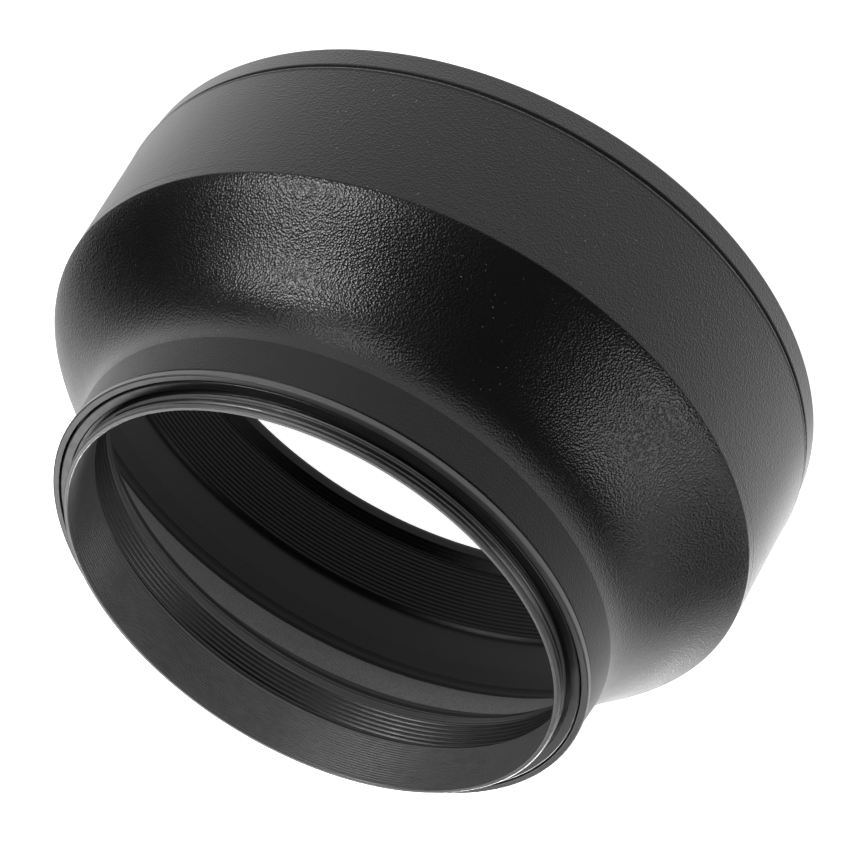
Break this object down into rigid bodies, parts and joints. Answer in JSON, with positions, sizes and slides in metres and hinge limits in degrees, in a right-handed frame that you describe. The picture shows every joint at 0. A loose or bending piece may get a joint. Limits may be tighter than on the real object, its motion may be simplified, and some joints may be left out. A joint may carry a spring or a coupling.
{
  "type": "collapsible rubber lens hood",
  "caption": "Round collapsible rubber hood with a conical shoulder and wide bell, on a metal ring with an outer filter thread and an inner filter thread.",
  "frame": {"origin": "centre of the front rim, at the bottom of the bounding box", "axes": "+Z along the optical axis from the front rim to the mount thread; the hood is round, so X and Y are any two directions across it"},
  "size_m": [0.1052, 0.1052, 0.051],
  "materials": {
    "mount_metal": "satin black anodised",
    "trim_metal": "satin black anodised",
    "retainer_metal": "satin black anodised",
    "collar_rubber": "matte moulded",
    "shoulder_rubber": "semi-gloss moulded with a fine grain",
    "crease_rubber": "semi-gloss moulded",
    "bell_rubber": "matte moulded with a sandy grain",
    "rim_rubber": "matte moulded"
  },
  "bodies": {
    "mount": {"mount_ring": "mount_metal", "trim_ring": "trim_metal", "retaining_ring": "retainer_metal", "rubber_collar": "collar_rubber", "rubber_shoulder": "shoulder_rubber"},
    "bell": {"crease_bead": "crease_rubber", "rubber_bell": "bell_rubber", "rim_lip": "rim_rubber"}
  },
  "joints": [
    {"name": "bell_slide", "type": "slide", "parent": "mount", "child": "bell", "axis": [0, 0, 1], "range_m": [0, 0.0352], "deforming": ["rubber_shoulder"]}
  ]
}
